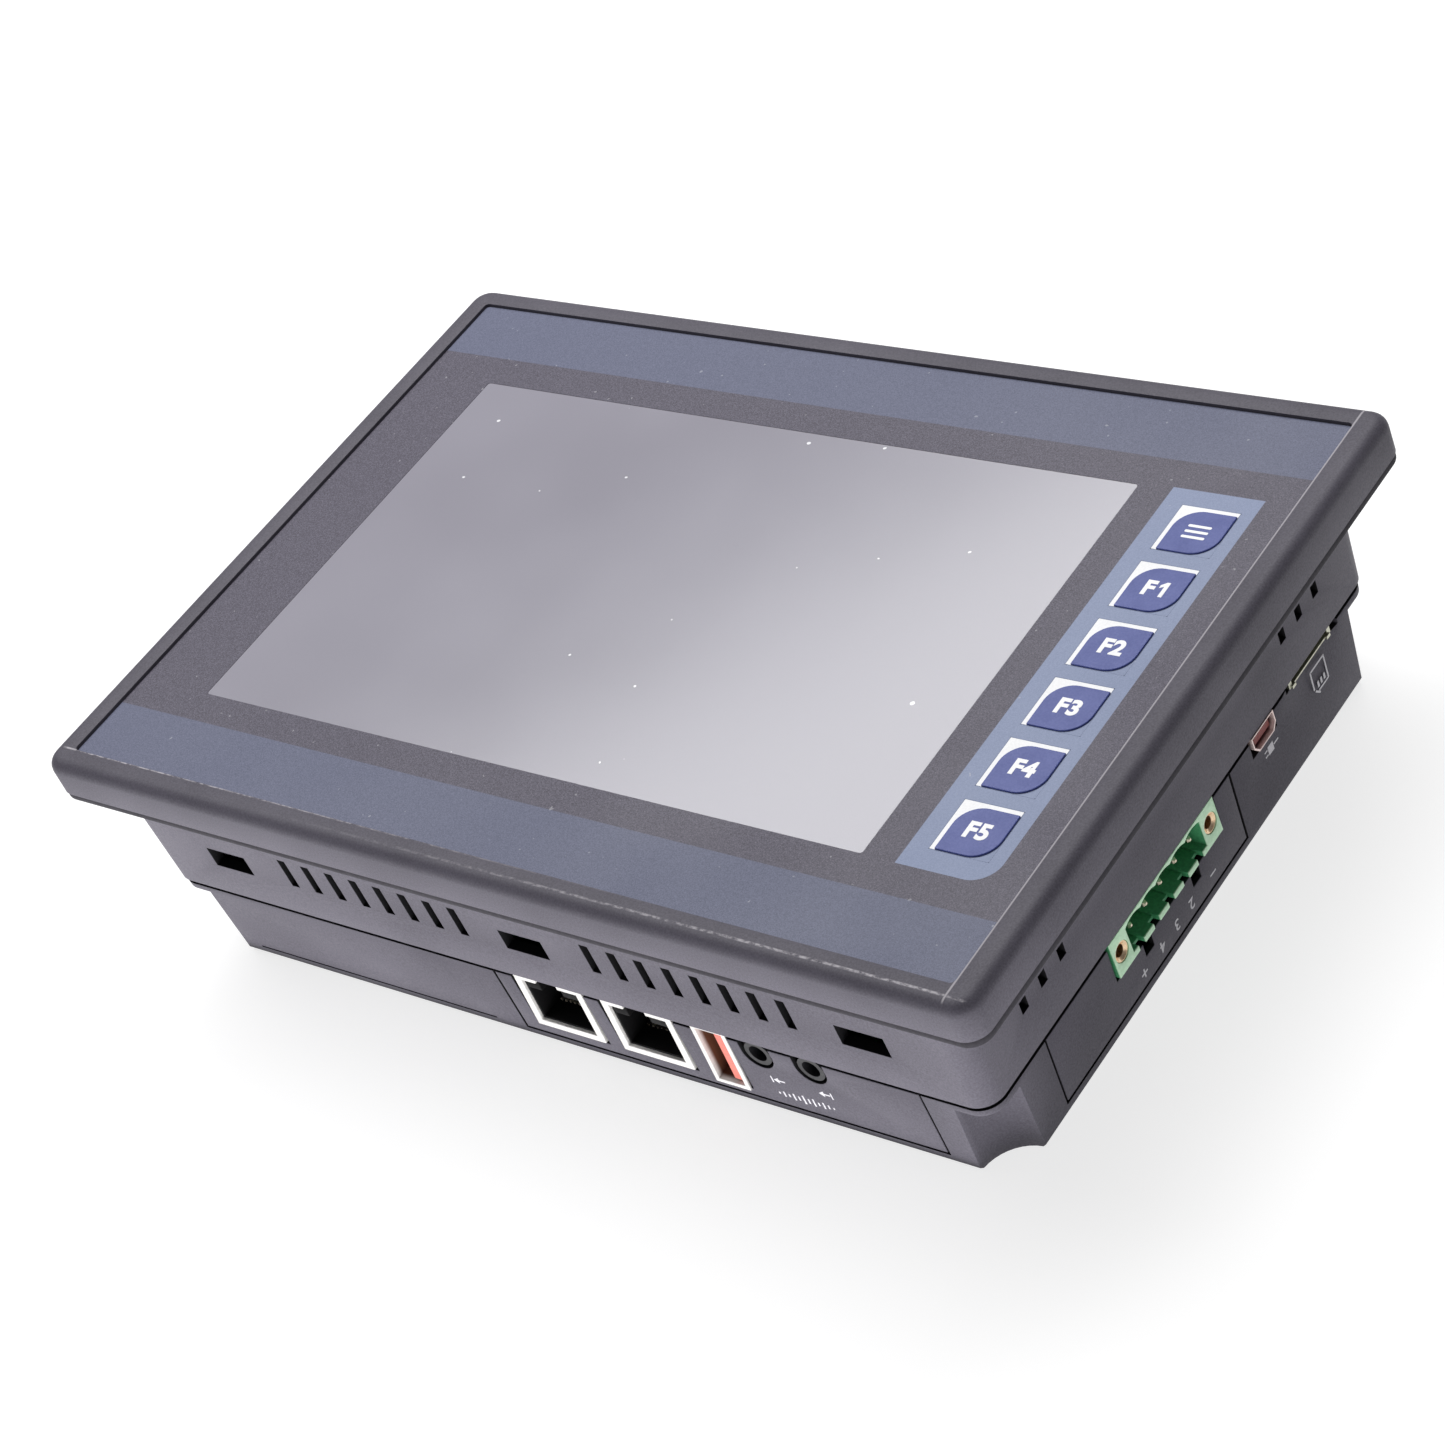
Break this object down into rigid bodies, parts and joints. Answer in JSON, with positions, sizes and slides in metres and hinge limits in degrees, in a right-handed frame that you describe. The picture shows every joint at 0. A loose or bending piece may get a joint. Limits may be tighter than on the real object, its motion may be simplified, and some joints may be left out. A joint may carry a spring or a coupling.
{
  "type": "hmi touch panel",
  "caption": "Industrial operator panel with a flat touch screen, a column of membrane keys, a sealing flange for panel mounting and network, serial-bus, audio and terminal ports.",
  "frame": {"origin": "centre of the flat back face, at the base of the part as it lies on its back", "axes": "+Z out of the screen, +X along the long side towards the keys, +Y up the screen"},
  "size_m": [0.2116, 0.1428, 0.0526],
  "materials": {
    "front_plastic": "fine texture",
    "rear_plastic": "fine texture",
    "plate_plastic": "fine texture",
    "gasket_rubber": "matt",
    "overlay_print": "fine speckle print",
    "window_film": "anti-glare",
    "key_print": "embossed print",
    "board_green": "solder mask",
    "switch_metal": "satin",
    "touch_glass": "clear",
    "seal_adhesive": "matt",
    "lcd_metal": "satin",
    "lcd_cell": "dark",
    "light_guide": "white",
    "screw_steel": "zinc",
    "flex_film": "amber",
    "chip_black": "matt",
    "capacitor_can": "satin",
    "coil_ferrite": "matt",
    "holder_black": "matt",
    "cell_steel": "satin",
    "jack_shield": "bright tin",
    "jack_core": "matt",
    "contact_gold": "gold plated",
    "usb_shield": "bright tin",
    "usb_core_red": "satin",
    "usb_device_core": "satin",
    "audio_black": "satin",
    "card_metal": "satin",
    "header_green": "satin",
    "insert_brass": "satin"
  },
  "bodies": {
    "case": {"front_housing": "front_plastic", "rear_housing": "rear_plastic", "bottom_port_plate": "plate_plastic", "side_port_plate": "plate_plastic", "panel_gasket": "gasket_rubber", "graphic_overlay": "overlay_print", "display_film": "window_film", "keypad_board": "board_green", "main_board": "board_green", "key_switches": "switch_metal", "touch_screen": "touch_glass", "touch_seal": "seal_adhesive", "lcd_frame": "lcd_metal", "lcd_bracket": "lcd_metal", "lcd_glass": "lcd_cell", "backlight": "light_guide", "lcd_screws": "screw_steel", "board_screws": "screw_steel", "case_screws": "screw_steel", "lcd_cable": "flex_film", "keypad_cable": "flex_film", "touch_cable": "flex_film", "processor": "chip_black", "memory_chips": "chip_black", "power_capacitors": "capacitor_can", "power_coil": "coil_ferrite", "battery_holder": "holder_black", "backup_battery": "cell_steel", "ethernet_shell_1": "jack_shield", "ethernet_shell_2": "jack_shield", "ethernet_insert_1": "jack_core", "ethernet_insert_2": "jack_core", "ethernet_contacts_1": "contact_gold", "ethernet_contacts_2": "contact_gold", "usb_host_contacts": "contact_gold", "terminal_pins": "contact_gold", "usb_host_shell": "usb_shield", "usb_device_shell": "usb_shield", "usb_host_tongue": "usb_core_red", "usb_device_tongue": "usb_device_core", "audio_jack_in": "audio_black", "audio_jack_out": "audio_black", "card_socket": "card_metal", "terminal_header": "header_green", "terminal_inserts": "insert_brass", "case_inserts": "insert_brass"},
    "key_menu": {"key_menu": "key_print"},
    "key_f1": {"key_f1": "key_print"},
    "key_f2": {"key_f2": "key_print"},
    "key_f3": {"key_f3": "key_print"},
    "key_f4": {"key_f4": "key_print"},
    "key_f5": {"key_f5": "key_print"}
  },
  "joints": [
    {"name": "key_menu_press", "type": "slide", "parent": "case", "child": "key_menu", "axis": [0, 0, -1], "range_m": [0, 0.00035], "stiffness_N_per_m": 800},
    {"name": "key_f1_press", "type": "slide", "parent": "case", "child": "key_f1", "axis": [0, 0, -1], "range_m": [0, 0.00035], "stiffness_N_per_m": 800},
    {"name": "key_f2_press", "type": "slide", "parent": "case", "child": "key_f2", "axis": [0, 0, -1], "range_m": [0, 0.00035], "stiffness_N_per_m": 800},
    {"name": "key_f3_press", "type": "slide", "parent": "case", "child": "key_f3", "axis": [0, 0, -1], "range_m": [0, 0.00035], "stiffness_N_per_m": 800},
    {"name": "key_f4_press", "type": "slide", "parent": "case", "child": "key_f4", "axis": [0, 0, -1], "range_m": [0, 0.00035], "stiffness_N_per_m": 800},
    {"name": "key_f5_press", "type": "slide", "parent": "case", "child": "key_f5", "axis": [0, 0, -1], "range_m": [0, 0.00035], "stiffness_N_per_m": 800}
  ]
}
